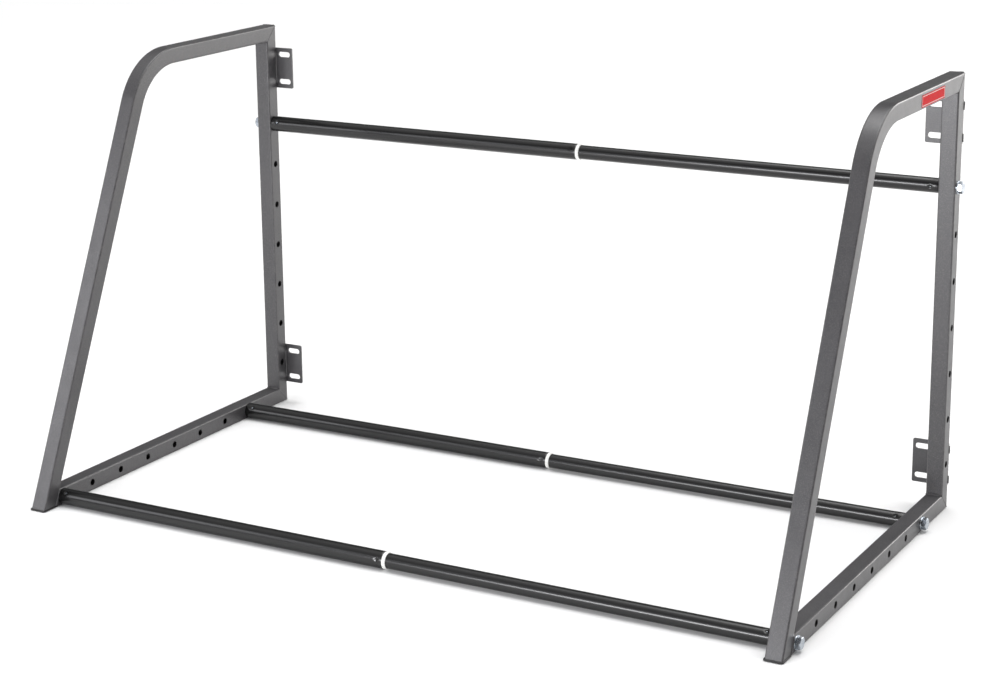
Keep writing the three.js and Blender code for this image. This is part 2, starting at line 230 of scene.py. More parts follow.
def plastic(name, colour, darker, roughness, grain_scale, grain_depth):
    """Moulded plastic: spark-eroded grain, slight flow clouding and dust-dulled patches."""
    material, tree, shader = node_material(name)
    clouds = ramp(tree, grain(tree, scale=60.0, detail=4.0), low=0, high=1, low_at=0.35, high_at=0.7)
    tree.links.new(blend_colour(tree, clouds, colour, darker), shader.inputs["Base Color"])
    patches = grain(tree, scale=240.0)
    spread = ramp(tree, patches, roughness - 0.06, roughness + 0.08, low_at=0.3, high_at=0.7)
    tree.links.new(spread, shader.inputs["Roughness"])
    bump(tree, shader, (grain(tree, grain_scale, detail=2.0), 0.25, grain_depth))
    return material


def printed_film(name, colour):
    """Matt printed film: ink mottle and a faint ripple from the paint under it."""
    material, tree, shader = node_material(name)
    ink = grain(tree, scale=1500.0, detail=2.0)
    mottle = ramp(tree, ink, low=0, high=0.35, low_at=0.4, high_at=0.8)
    darker = [c * 0.82 for c in colour]
    tree.links.new(blend_colour(tree, mottle, colour, darker), shader.inputs["Base Color"])
    spread = ramp(tree, grain(tree, scale=90.0), low=0.34, high=0.46, low_at=0.3, high_at=0.7)
    tree.links.new(spread, shader.inputs["Roughness"])
    shader.inputs["Specular IOR Level"].default_value = 0.02
    ripple = grain(tree, scale=180.0, detail=2.0)
    bump(tree, shader, (ripple, 0.08, 0.1 * MM))
    return material


POWDER_COAT = painted(
    "powder_coat", colour=(0.049, 0.0472, 0.051), worn=(0.14, 0.136, 0.132),
    roughness=0.33, uneven=0.05, peel=0.2, fleck=0.8, shine=0.65,
)
BAR_PAINT = painted(
    "bar_paint", colour=(0.004, 0.0039, 0.004), worn=(0.025, 0.024, 0.023),
    roughness=0.25, uneven=0.012, peel=0.004, fleck=0.03, shine=0.55,
)
ZINC = zinc_plate("zinc")
NYLON = plastic(
    "nylon", colour=(0.86, 0.86, 0.84), darker=(0.78, 0.78, 0.75),
    roughness=0.36, grain_scale=900.0, grain_depth=0.03 * MM,
)
BLACK_PLASTIC = plastic(
    "black_plastic", colour=(0.012, 0.012, 0.012), darker=(0.022, 0.021, 0.02),
    roughness=0.5, grain_scale=1400.0, grain_depth=0.05 * MM,
)
LABEL_RED = printed_film("label_red", (0.62, 0.008, 0.012))
LABEL_WHITE = printed_film("label_white", (0.86, 0.85, 0.83))


# ---------------------------------------------------------------- mesh helpers

# The turns, in degrees, at which the shading breaks. The eased one keeps flat faces flat beside
# their eased edges, and the weld one lets a bead's ripples run into each other.
SHARP = 35.0
EASED_SHARP = 20.0
HEX_SHARP = 24.0
WELD_SHARP = 60.0


def new_piece(name, mesh, materials, sharp=SHARP):
    for material in materials:
        mesh.materials.append(material)
    mesh.shade_smooth()
    mesh.set_sharp_from_angle(angle=math.radians(sharp))
    piece = bpy.data.objects.new(name, mesh)
    bpy.context.scene.collection.objects.link(piece)
    return piece


def finish_mesh(name, points, faces):
    """A mesh with its normals facing out."""
    mesh = bpy.data.meshes.new(name)
    mesh.from_pydata([tuple(p) for p in points], [], faces)
    work = bmesh.new()
    work.from_mesh(mesh)
    bmesh.ops.recalc_face_normals(work, faces=work.faces)
    work.to_mesh(mesh)
    work.free()
    return mesh


def set_edge_mask(mesh, values):
    """Stores a value from 0 to 1 for each vertex as the edge mask."""
    layer = mesh.attributes.new(EDGE_MASK, "FLOAT", "POINT")
    for item, value in zip(layer.data, values):
        item.value = value


def mark_edges(mesh, share):
    """Stores share(point) on each vertex as the edge mask."""
    set_edge_mask(mesh, [share(vertex.co) for vertex in mesh.vertices])


def rings_mesh(name, rings, closed):
    """Joins rings of as many points each. A closed run joins its last ring to its first, and an
    open one is capped at both ends."""
    count = len(rings[0])
    points = [p for ring in rings for p in ring]
    faces = []
    last = len(rings) if closed else len(rings) - 1
    for i in range(last):
        a, b = i * count, (i + 1) % len(rings) * count
        for j in range(count):
            k = (j + 1) % count
            faces.append((a + j, a + k, b + k, b + j))
    if not closed:
        faces.append(tuple(range(count)))
        faces.append(tuple(range(len(points) - count, len(points))))
    return finish_mesh(name, points, faces)


def modified(piece, modifiers):
    """Applies modifiers, each (kind, settings), to a mesh object in turn."""
    for kind, settings in modifiers:
        made = piece.modifiers.new(kind, kind)
        for key, value in settings.items():
            setattr(made, key, value)
    graph = bpy.context.evaluated_depsgraph_get()
    mesh = bpy.data.meshes.new_from_object(piece.evaluated_get(graph))
    mesh.name = piece.name
    bpy.data.objects.remove(piece)
    return mesh


def cut_and_ease(mesh, cutters, ease):
    """Cuts the cutters' meshes out of a mesh and eases the sharp edges by so much."""
    piece = bpy.data.objects.new(mesh.name, mesh)
    bpy.context.scene.collection.objects.link(piece)
    tools = []
    for cutter in cutters:
        tool = bpy.data.objects.new("cutter", cutter)
        bpy.context.scene.collection.objects.link(tool)
        tools.append(tool)
    cuts = [("BOOLEAN", {"operation": "DIFFERENCE", "solver": "EXACT", "object": t}) for t in tools]
    easing = {"width": ease, "segments": 2, "limit_method": "ANGLE", "angle_limit": math.radians(55)}
    eased = modified(piece, cuts + [("BEVEL", easing)])
    for tool in tools:
        bpy.data.objects.remove(tool)
    return eased


def arc(centre_u, centre_v, radius, start, end, steps):
    turns = [start + (end - start) * i / steps for i in range(steps + 1)]
    return [(centre_u + radius * math.cos(t), centre_v + radius * math.sin(t)) for t in turns]


def rounded_outline(half_u, half_v, radius, steps, band=0.0):
    """A rounded rectangle about the origin. A band adds a point that far beside each corner."""
    points = []
    for quarter, (su, sv) in enumerate(((1, 1), (-1, 1), (-1, -1), (1, -1))):
        start = quarter * math.pi / 2
        end = start + math.pi / 2
        corner = arc(su * (half_u - radius), sv * (half_v - radius), radius, start, end, steps)
        if band:
            (first_u, first_v), (last_u, last_v) = corner[0], corner[-1]
            before = (first_u + band * math.sin(start), first_v - band * math.cos(start))
            after = (last_u - band * math.sin(end), last_v + band * math.cos(end))
            corner = [before, *corner, after]
        points += corner
    return points


def ridden(piece, body, slot, *nodes):
    """Puts a piece on its body and hides the CAD nodes that it stands for. The slot is not used."""
    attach(piece, body)
    if nodes:
        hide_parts(*nodes)


def side_name(side):
    return "left" if side == LEFT else "right"


def body_name(side):
    return f"{side_name(side)}_half"


# ---------------------------------------------------------------- square tubes

class Station:
    """A place on a tube's centreline in the YZ plane, its direction, and the plane it is cut by."""

    def __init__(self, y, z, turn, cut=None):
        self.centre = Vector((0, y, z))
        self.along = Vector((0, math.cos(turn), math.sin(turn)))
        self.across = Vector((0, -math.sin(turn), math.cos(turn)))
        self.cut = cut

    def ring(self, x, outline):
        points = []
        for u, v in outline:
            point = self.centre + Vector((x + u, 0, 0)) + self.across * v
            if self.cut:
                through, normal = self.cut
                run = (through - point).dot(normal) / self.along.dot(normal)
                point = point + self.along * run
            points.append(point)
        return points


def plane(y, z, turn):
    """A plane across X through (y, z), whose normal is turned so far from +Y towards +Z."""
    return Vector((0, y, z)), Vector((0, math.cos(turn), math.sin(turn)))


CAP_TOP = 2.1 * MM
TOP_MITRE = plane(BACK_Y, TOP_Z, -math.pi / 4)
BOTTOM_MITRE = plane(BACK_Y, 0.0, math.pi / 4)
FLOOR_CUT = plane(0.0, CAP_TOP, math.pi / 2)
UPRIGHT_BACK = plane(TOE_Y + TUBE * LEAN_COS, -TUBE * LEAN_SIN, -LEAN)

CORNER_STEPS = 6
BEND_STEPS = 40
HOLE_STEPS = 40
# A narrow strip beside each rounded corner keeps the wide faces flat in the shading.
EDGE_BAND = 1.2 * MM
OUTLINE = rounded_outline(TUBE / 2, TUBE / 2, CORNER, CORNER_STEPS, EDGE_BAND)
BORE = rounded_outline(TUBE / 2 - WALL, TUBE / 2 - WALL, CORNER - WALL, CORNER_STEPS, EDGE_BAND)


def on_corner(u, v):
    """Whether a place in the tube's section is on one of its rounded outer corners."""
    worn_from = TUBE / 2 - 0.8 * CORNER
    return abs(u) > worn_from and abs(v) > worn_from


def upright_stations():
    """From the floor up the leaning leg, round the bend and back along the level top rail."""
    up = math.pi / 2 - LEAN
    start = Vector((0, BEND_Y - BEND_RADIUS * LEAN_COS, BEND_Z + BEND_RADIUS * LEAN_SIN))
    foot = start - Vector((0, math.cos(up), math.sin(up))) * (BEND_Z / LEAN_COS)
    stations = [Station(foot.y, foot.z, up, FLOOR_CUT)]
    for i in range(BEND_STEPS + 1):
        turn = up * (1 - i / BEND_STEPS)
        y = BEND_Y - BEND_RADIUS * math.sin(turn)
        z = BEND_Z + BEND_RADIUS * math.cos(turn)
        stations.append(Station(y, z, turn))
    stations.append(Station(BACK_Y - TUBE / 2, TOP_Z - TUBE / 2, 0.0, TOP_MITRE))
    return stations


def make_upright(side):
    x = side * FRAME_X
    rings = [station.ring(x, OUTLINE) for station in upright_stations()]
    mesh = rings_mesh(f"{side_name(side)}_upright_tube", rings, closed=False)
    marks = [1.0 if on_corner(u, v) else 0.0 for u, v in OUTLINE]
    set_edge_mask(mesh, marks * len(rings))
    piece = new_piece(mesh.name, mesh, [POWDER_COAT])
    ridden(piece, body_name(side), "powder_coat", f"{side_name(side)}_upright")


def hole_cutter(x, y, z):
    """A rod along X, through both side walls of a square tube at x."""
    turns = [2 * math.pi * i / HOLE_STEPS for i in range(HOLE_STEPS)]
    circle = [(HOLE_RADIUS * math.cos(t), HOLE_RADIUS * math.sin(t)) for t in turns]
    rings = [[Vector((x + end * TUBE, y + cy, z + cz)) for cy, cz in circle] for end in (-1, 1)]
    return rings_mesh("hole", rings, closed=False)


def make_straight_tube(side, part, stations, holes):
    """A hollow square tube with bolt holes through both of its side walls."""
    x = side * FRAME_X
    outside = [station.ring(x, OUTLINE) for station in stations]
    inside = [station.ring(x, BORE) for station in reversed(stations)]
    name = f"{side_name(side)}_{part}_tube"
    mesh = rings_mesh(name, outside + inside, closed=True)
    mesh = cut_and_ease(mesh, [hole_cutter(x, y, z) for y, z in holes], HOLE_EDGE)
    line = stations[0]
    rim = HOLE_RADIUS + HOLE_EDGE / 2

    def share(point):
        if on_corner(point.x - x, (point - line.centre).dot(line.across)):
            return 1.0
        at_hole = any(math.hypot(point.y - y, point.z - z) < rim for y, z in holes)
        return 1.0 if at_hole else 0.0

    mark_edges(mesh, share)
    piece = new_piece(name, mesh, [POWDER_COAT], EASED_SHARP)
    ridden(piece, body_name(side), "powder_coat", f"{side_name(side)}_{part}")


def make_post(side):
    y = BACK_Y - TUBE / 2
    up = math.pi / 2
    stations = [Station(y, TUBE / 2, up, BOTTOM_MITRE), Station(y, TOP_Z - TUBE / 2, up, TOP_MITRE)]
    make_straight_tube(side, "post", stations, POST_HOLE_AT)


def make_rail(side):
    z = TUBE / 2
    front = Station(TOE_Y + TUBE, z, 0.0, UPRIGHT_BACK)
    back = Station(BACK_Y - TUBE, z, 0.0, BOTTOM_MITRE)
    make_straight_tube(side, "bottom_rail", [front, back], RAIL_HOLE_AT)


# ---------------------------------------------------------------- brackets, caps and label

BRACKET_CORNER = 2.5 * MM
SLOT_LENGTH = 23 * MM
SLOT_WIDTH = 9 * MM
SLOT_EDGE_DISTANCE = 11 * MM
BRACKET_REACH = 31 * MM
PLATE_EDGE = 0.45 * MM
SLOT_STEPS = 14


def slab(name, outline, low_y, high_y, x, z):
    """An XZ outline about (x, z), made solid from low_y to high_y."""
    rings = [[Vector((x + u, y, z + v)) for u, v in outline] for y in (low_y, high_y)]
    return rings_mesh(name, rings, closed=False)


def slot_outline(half_length, radius):
    """A level slot with round ends, about the origin."""
    reach = half_length - radius
    right = arc(reach, 0, radius, -math.pi / 2, math.pi / 2, SLOT_STEPS)
    left = arc(-reach, 0, radius, math.pi / 2, 1.5 * math.pi, SLOT_STEPS)
    return right + left


def make_bracket(side, level):
    node = f"{side_name(side)}_{level}_bracket"
    low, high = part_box(node)
    half_width, half_height = (high.x - low.x) / 2, (high.z - low.z) / 2
    outline = rounded_outline(half_width, half_height, BRACKET_CORNER, CORNER_STEPS)
    mesh = slab(f"{node}_plate", outline, low.y, high.y, (low.x + high.x) / 2, (low.z + high.z) / 2)
    slot = slot_outline(SLOT_LENGTH / 2, SLOT_WIDTH / 2)
    slot_x = side * (INNER_X - BRACKET_REACH / 2)
    cutters = []
    for z in (low.z + SLOT_EDGE_DISTANCE, high.z - SLOT_EDGE_DISTANCE):
        cutters.append(slab("slot", slot, low.y - TUBE, high.y + TUBE, slot_x, z))
    mesh = cut_and_ease(mesh, cutters, PLATE_EDGE)
    faces = {round(low.y / MM, 2), round(high.y / MM, 2)}
    mark_edges(mesh, lambda point: 0.0 if round(point.y / MM, 2) in faces else 1.0)
    piece = new_piece(mesh.name, mesh, [POWDER_COAT], EASED_SHARP)
    ridden(piece, body_name(side), "powder_coat", node)


# The cap's lip: how proud of the tube it stands at each height, both in millimetres. The last two
# points are the flat that the tube's end stands on.
CAP_PROFILE = (
    (0.0, -0.7), (0.3, 0.5), (0.9, 1.2), (1.7, 1.5), (2.5, 1.25), (3.0, 0.7), (3.15, 0.05),
    (CAP_TOP / MM, 0.05), (CAP_TOP / MM, -1.6),
)
CAP_STEPS = 8


def make_foot_cap(side):
    node = f"{side_name(side)}_foot_cap"
    half_x, half_y = TUBE / 2, TUBE / LEAN_COS / 2
    x, y = side * FRAME_X, TOE_Y + half_y
    rings = []
    for height, proud_mm in CAP_PROFILE:
        proud = proud_mm * MM
        outline = rounded_outline(half_x + proud, half_y + proud, CORNER + proud, CAP_STEPS)
        rings.append([Vector((x + u, y + v, height * MM)) for u, v in outline])
    mesh = rings_mesh(f"{node}_lip", rings, closed=False)
    ridden(new_piece(mesh.name, mesh, [BLACK_PLASTIC]), body_name(side), "black_plastic", node)


LABEL_CORNER = 1.5 * MM
LABEL_LEAST_CORNER = 0.3 * MM
KEYLINE_INSET = 1.5 * MM
KEYLINE_WIDTH = 0.8 * MM
INK_STEP = 0.02 * MM


def make_label():
    """A plain film with a pale border line, and nothing written on it."""
    low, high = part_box("label")
    centre = middle("label")
    half_y, half_z = (high.y - low.y) / 2, (high.z - low.z) / 2

    def ring(x, inset):
        corner = max(LABEL_CORNER - inset, LABEL_LEAST_CORNER)
        outline = rounded_outline(half_y - inset, half_z - inset, corner, CORNER_STEPS)
        return [Vector((x, centre.y + u, centre.z + v)) for u, v in outline]

    face = high.x
    line_end = KEYLINE_INSET + KEYLINE_WIDTH
    rings = [
        ring(low.x, 0.0),
        ring(face - INK_STEP, 0.0),
        ring(face, INK_STEP),
        ring(face, KEYLINE_INSET),
        ring(face + INK_STEP, KEYLINE_INSET + INK_STEP),
        ring(face + INK_STEP, line_end - INK_STEP),
        ring(face, line_end),
    ]
    keyline = {3, 4, 5, 6}
    red, white = 0, 1
    mesh = rings_mesh("label_film", rings, closed=False)
    per_ring = len(rings[0])
    for polygon in mesh.polygons:
        joined = {vertex // per_ring for vertex in polygon.vertices}
        polygon.material_index = white if joined <= keyline and len(joined) > 1 else red
    piece = new_piece("label_film", mesh, [LABEL_RED, LABEL_WHITE])
    ridden(piece, "right_half", "label_red", "label")


# ---------------------------------------------------------------- turned pieces

def turned(name, profile, x, y, z, side, steps, ripple=None):
    """A closed profile of (distance outwards, radius) points turned about an X axis. ripple(x, turn)
    adds to the radius of each point that has a third value."""
    rings = []
    for out, radius, *dented in profile:
        at = x + side * out
        ring = []
        for i in range(steps):
            turn = 2 * math.pi * i / steps
            r = radius + (ripple(at, turn) if dented else 0.0)
            ring.append(Vector((at, y + r * math.cos(turn), z + r * math.sin(turn))))
        rings.append(ring)
    return rings_mesh(name, rings, closed=True)


BAR_STEPS = 128
BAR_STATION = 25 * MM
BAR_EDGE = 0.3 * MM
END_WEAR = 1.0 * MM
DIMPLE_RADIUS = 5.0 * MM
DIMPLE_STATION = 0.5 * MM


def dimple_depth(x, turn, radius, dimples):
    """How far in the staked dents push a bar's wall at a place, below 0. Each dent is (X, degrees
    above level on the front side, depth)."""
    depth = 0.0
    for at, elevation, deep in dimples:
        centre = math.pi - math.radians(elevation)
        around = (turn - centre + math.pi) % (2 * math.pi) - math.pi
        away = math.hypot(x - at, around * radius) / DIMPLE_RADIUS
        if away < 1.0:
            bowl = (1 - away * away) ** 2
            depth -= deep * bowl * (1 + 0.35 * math.cos(math.pi * away))
    return depth


def bar_stations(low, high, dimples):
    """Places along a bar, closer together at its dents."""
    places = {low, high}
    places.update(low + BAR_STATION * i for i in range(1, int((high - low) / BAR_STATION)))
    reach = int(1.2 * DIMPLE_RADIUS / DIMPLE_STATION)
    for at, _, _ in dimples:
        places.update(at + DIMPLE_STATION * i for i in range(-reach, reach + 1))
    return sorted(p for p in places if low <= p <= high)


def make_bar(name, kind, outer_radius, bore_radius, dimples):
    node = f"{name}_{kind}_tube"
    low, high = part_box(node)
    centre = BAR_AT[name]
    near, far = low.x, high.x
    runs = bar_stations(near + BAR_EDGE, far - BAR_EDGE, dimples)
    skin = [(x, outer_radius, True) for x in runs]
    bore = [(x, bore_radius, True) for x in reversed(runs)]
    ease = BAR_EDGE * (1 - math.sqrt(0.5))
    profile = [
        (near + ease, outer_radius - ease), *skin, (far - ease, outer_radius - ease),
        (far, outer_radius - BAR_EDGE), (far, bore_radius), *bore, (near, bore_radius),
        (near, outer_radius - BAR_EDGE),
    ]

    def ripple(x, turn):
        return dimple_depth(x, turn, outer_radius, dimples)

    mesh = turned(f"{node}_bar", profile, 0.0, centre.y, centre.z, 1, BAR_STEPS, ripple)
    mark_edges(mesh, lambda point: 1.0 if min(point.x - near, far - point.x) < END_WEAR else 0.0)
    body = "left_half" if kind == "outer" else "right_half"
    ridden(new_piece(mesh.name, mesh, [BAR_PAINT]), body, "bar_paint", node)


BUSH_CLEARANCE = 0.1 * MM
BUSH_EDGE = 0.3 * MM
BUSH_MOUTH = 0.5 * MM
BUSH_SHOULDER = 1.2 * MM
BUSH_STEPS = 96
DOME_STEPS = 10


def make_bush(name):
    """A nylon bush: a thin sleeve in the outer tube and a domed lip that covers its mouth."""
    node = f"{name}_bush"
    low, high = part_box(node)
    centre = BAR_AT[name]
    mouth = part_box(f"{name}_outer_tube")[1].x
    inner_low, inner_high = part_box(f"{name}_inner_tube")
    bore = (inner_high.z - inner_low.z) / 2 + BUSH_CLEARANCE
    sleeve = OUTER_BAR_RADIUS - OUTER_BAR_WALL - BUSH_CLEARANCE
    root = mouth + BUSH_CLEARANCE
    rim = OUTER_BAR_RADIUS
    tip = bore + BUSH_MOUTH
    shoulder = root + BUSH_SHOULDER
    dome = []
    for i in range(DOME_STEPS + 1):
        turn = math.pi / 2 * i / DOME_STEPS
        out = shoulder + (high.x - shoulder) * math.sin(turn)
        dome.append((out, tip + (rim - tip) * math.cos(turn)))
    profile = [
        (low.x, bore), (low.x, sleeve), (root, sleeve), (root, rim - BUSH_EDGE),
        (root + BUSH_EDGE, rim), *dome, (high.x, bore),
    ]
    mesh = turned(f"{node}_ring", profile, 0.0, centre.y, centre.z, 1, BUSH_STEPS)
    ridden(new_piece(mesh.name, mesh, [NYLON]), "left_half", "nylon", node)


# ---------------------------------------------------------------- bolts and washers

# The hex radius is half the width across its flats.
HEX_RADIUS = 8.0 * MM
HEX_HEIGHT = 6.4 * MM
HEX_CHAMFER = math.radians(30)
HEX_FACE = 0.93 * HEX_RADIUS
HEX_STEPS = 72
SEAT_HEIGHT = 0.25 * MM
DISH = 0.3 * MM
SHANK_RADIUS = 5.0 * MM
THREAD_PITCH = 1.5 * MM
THREAD_DEPTH = 0.7 * MM
THREADED = 24 * MM
TIP_CHAMFER = 1.2 * MM


def hex_radius(turn):
    sector = math.pi / 3
    return HEX_RADIUS / math.cos((turn + sector / 2) % sector - sector / 2)


def chamfer_height(turn):
    """Where the head's side meets its chamfer: lower at the six corners."""
    return HEX_HEIGHT - (hex_radius(turn) - HEX_FACE) * math.tan(HEX_CHAMFER)


def root_height(turn):
    """Where the head's side begins above its round seat: higher at the six corners."""
    return max(SEAT_HEIGHT, (hex_radius(turn) - HEX_RADIUS) * 0.5)


def bolt_profile(length):
    """From the tip to the head's end: (height above the seat, radius), each a length or a function
    of the turn."""
    tip = HEX_HEIGHT - length
    root = SHANK_RADIUS - THREAD_DEPTH
    crest = SHANK_RADIUS - 0.05 * MM
    thread = tip + TIP_CHAMFER
    count = int(THREADED / THREAD_PITCH)
    profile = [(tip, SHANK_RADIUS - TIP_CHAMFER), (tip + 1.0 * MM, root)]
    for i in range(count):
        start = thread + i * THREAD_PITCH
        profile += [(start, root), (start + 0.6 * MM, crest), (start + 0.8 * MM, crest)]
    return profile + [
        (thread + count * THREAD_PITCH, SHANK_RADIUS),
        (0.0, SHANK_RADIUS),
        (0.0, 0.9 * HEX_RADIUS),
        (SEAT_HEIGHT, 0.94 * HEX_RADIUS),
        (root_height, lambda turn: hex_radius(turn) - 0.1 * MM),
        (lambda turn: root_height(turn) + 0.15 * MM, hex_radius),
        (lambda turn: chamfer_height(turn) - 0.2 * MM, hex_radius),
        (lambda turn: chamfer_height(turn) + 0.1 * MM, lambda turn: hex_radius(turn) - 0.3 * MM),
        (HEX_HEIGHT - 0.08 * MM, HEX_FACE),
        (HEX_HEIGHT, HEX_FACE - 0.4 * MM),
        (HEX_HEIGHT, 0.62 * HEX_RADIUS),
        (HEX_HEIGHT - 0.25 * MM, 0.5 * HEX_RADIUS),
        (HEX_HEIGHT - DISH, 0.1 * HEX_RADIUS),
    ]


def make_bolt(side, bar, twist):
    """A hex head with a chamfered, slightly dished end, on a shank threaded at its tip."""
    node = f"{side_name(side)}_{bar}_bolt"
    low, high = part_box(node)
    seat = (high.x if side == RIGHT else low.x) - side * HEX_HEIGHT
    centre = BAR_AT[bar]

    def place_at(height, radius, turn):
        height = height(turn) if callable(height) else height
        radius = radius(turn) if callable(radius) else radius
        y = centre.y + radius * math.cos(turn + twist)
        return Vector((seat + side * height, y, centre.z + radius * math.sin(turn + twist)))

    turns = [2 * math.pi * i / HEX_STEPS for i in range(HEX_STEPS)]
    profile = bolt_profile(high.x - low.x)
    rings = [[place_at(height, radius, turn) for turn in turns] for height, radius in profile]
    mesh = rings_mesh(f"{node}_hex", rings, closed=False)
    worn_from = seat + side * 0.3 * MM

    def share(point):
        on_head = (point.x - worn_from) * side > 0
        turn = math.atan2(point.z - centre.z, point.y - centre.y) - twist
        radius = math.hypot(point.y - centre.y, point.z - centre.z)
        at_corner = hex_radius(turn) > 1.12 * HEX_RADIUS and radius > 0.95 * HEX_RADIUS
        return 1.0 if on_head and at_corner else 0.0

    mark_edges(mesh, share)
    ridden(new_piece(mesh.name, mesh, [ZINC], HEX_SHARP), body_name(side), "zinc", node)


WASHER_BORE = 5.3 * MM
WASHER_RADIUS = 10.0 * MM
WASHER_EDGE = 0.35 * MM
WASHER_STEPS = 64


def make_washer(side, bar):
    """A flat washer, more rounded on its outer face."""
    node = f"{side_name(side)}_{bar}_washer"
    low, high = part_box(node)
    near, thick = (low.x if side == RIGHT else high.x), high.x - low.x
    centre = BAR_AT[bar]
    ease = WASHER_EDGE
    profile = [
        (0.0, WASHER_BORE + ease), (0.0, WASHER_RADIUS - 0.5 * ease), (0.5 * ease, WASHER_RADIUS),
        (thick - ease, WASHER_RADIUS), (thick - 0.3 * ease, WASHER_RADIUS - 0.3 * ease),
        (thick, WASHER_RADIUS - ease), (thick, WASHER_BORE + ease),
        (thick - ease, WASHER_BORE), (ease, WASHER_BORE),
    ]
    mesh = turned(f"{node}_ring", profile, near, centre.y, centre.z, side, WASHER_STEPS)
    rim = WASHER_RADIUS - ease / 2

    def share(point):
        return 1.0 if math.hypot(point.y - centre.y, point.z - centre.z) > rim else 0.0

    mark_edges(mesh, share)
    ridden(new_piece(mesh.name, mesh, [ZINC]), body_name(side), "zinc", node)


# ---------------------------------------------------------------- welds

# A bead's ripples: their pitch, and their height and unevenness as shares of its radius.
RIPPLE_PITCH = 1.6 * MM
RIPPLE_HEIGHT = 0.16
WANDER = 0.25
WANDER_SCALE = 120
BEAD_STEP = 0.4 * MM
BEAD_SIDES = 12
# Any direction that no weld runs along.
BEAD_ASIDE = Vector((0.31, 0.53, 0.79))


def bead(points, radius, seed):
    """The rings of one weld bead along straight stretches between points: overlapping ripples of
    uneven size, tapered at both ends."""
    path = []
    for first, second in zip(points, points[1:]):
        count = max(1, round((second - first).length / BEAD_STEP))
        path += [first.lerp(second, i / count) for i in range(count)]
    path.append(points[-1])
    total = BEAD_STEP * (len(path) - 1)
    rings = []
    for i, point in enumerate(path):
        ahead, behind = path[min(i + 1, len(path) - 1)], path[max(i - 1, 0)]
        along = (ahead - behind).normalized()
        side = along.cross(BEAD_ASIDE).normalized()
        other = along.cross(side)
        run = i * BEAD_STEP
        end = max(0.0, min(run, total - run)) / radius
        taper = math.sqrt(max(0.02, 1 - (1 - min(1.0, end)) ** 2))
        wander = noise.noise(Vector((run * WANDER_SCALE, seed * 7.3, 0)))
        wave = 1 + RIPPLE_HEIGHT * abs(math.sin(math.pi * run / RIPPLE_PITCH)) + WANDER * wander
        ring = []
        for k in range(BEAD_SIDES):
            turn = 2 * math.pi * k / BEAD_SIDES
            ring.append(point + (side * math.cos(turn) + other * math.sin(turn)) * radius * taper * wave)
        rings.append(ring)
    return rings


def bead_across(x, half_length, y, z):
    return [Vector((x - half_length, y, z)), Vector((x + half_length, y, z))]


def bead_down(x, start, end):
    """A bead at x between two places in the YZ plane."""
    return [Vector((x, *start)), Vector((x, *end))]


# Weld beads: their radii, how far their centres lie in from a face or an edge, and the length of the
# brackets' short ones and their gap to the plate's end.
SIDE_SINK = 0.35 * MM
SIDE_BEAD = 0.75 * MM
FOOT_BEAD = 1.9 * SIDE_BEAD
FILLET = 2.6 * MM
BACK_SINK = 1.2 * MM
TOP_BACK_BEAD = 1.9 * MM
BOTTOM_BACK_BEAD = 1.7 * MM
PLATE_BEAD = 1.6 * MM
PLATE_LONG_BEAD = 1.9 * MM
PLATE_RUN = 13 * MM
PLATE_END_GAP = 4 * MM


def frame_beads(x):
    """The beads between a side frame's three tubes, each (points, radius)."""
    half = TUBE / 2
    inner_y = BACK_Y - TUBE
    foot_y = TOE_Y + TUBE / LEAN_COS
    rise = math.tan(LEAN)
    foot_low, foot_high = 2 * MM, TUBE - 1 * MM
    corner = 1 * MM
    flat = half - CORNER
    beads = []
    for face in (-1, 1):
        at = x + face * (half - SIDE_SINK)
        top = bead_down(at, (inner_y, TOP_Z - TUBE), (BACK_Y - corner, TOP_Z - corner))
        bottom = bead_down(at, (inner_y, TUBE), (BACK_Y - corner, corner))
        low = (foot_y + foot_low * rise, foot_low)
        high = (foot_y + foot_high * rise, foot_high)
        beads += [(top, SIDE_BEAD), (bottom, SIDE_BEAD), (bead_down(at, low, high), FOOT_BEAD)]
    back = BACK_Y - BACK_SINK
    return beads + [
        (bead_across(x, flat, inner_y, TOP_Z - TUBE), 0.8 * FILLET),
        (bead_across(x, flat, inner_y, TUBE), FILLET),
        (bead_across(x, half - corner, back, TOP_Z - BACK_SINK), TOP_BACK_BEAD),
        (bead_across(x, half - corner, back, 2.2 * MM), BOTTOM_BACK_BEAD),
        (bead_across(x, flat, foot_y + TUBE * rise, TUBE), 0.7 * FILLET),
    ]


def bracket_beads(side, x, level):
    """The beads that hold one bracket: two short ones along the post's outer side and a long one
    along its inner side."""
    low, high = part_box(f"{side_name(side)}_{level}_bracket")
    outer = x + side * (TUBE / 2 - 0.6 * MM)
    inner = x - side * (TUBE / 2 - 0.2 * MM)
    outer_y, inner_y = BACK_Y + 1.2 * MM, BACK_Y - 0.4 * MM
    beads = []
    for start in (low.z + PLATE_END_GAP, high.z - PLATE_END_GAP - PLATE_RUN):
        beads.append((bead_down(outer, (outer_y, start), (outer_y, start + PLATE_RUN)), PLATE_BEAD))
    mid = (low.z + high.z) / 2
    reach = 2 * PLATE_RUN
    beads.append((bead_down(inner, (inner_y, mid - reach), (inner_y, mid + reach)), PLATE_LONG_BEAD))
    return beads


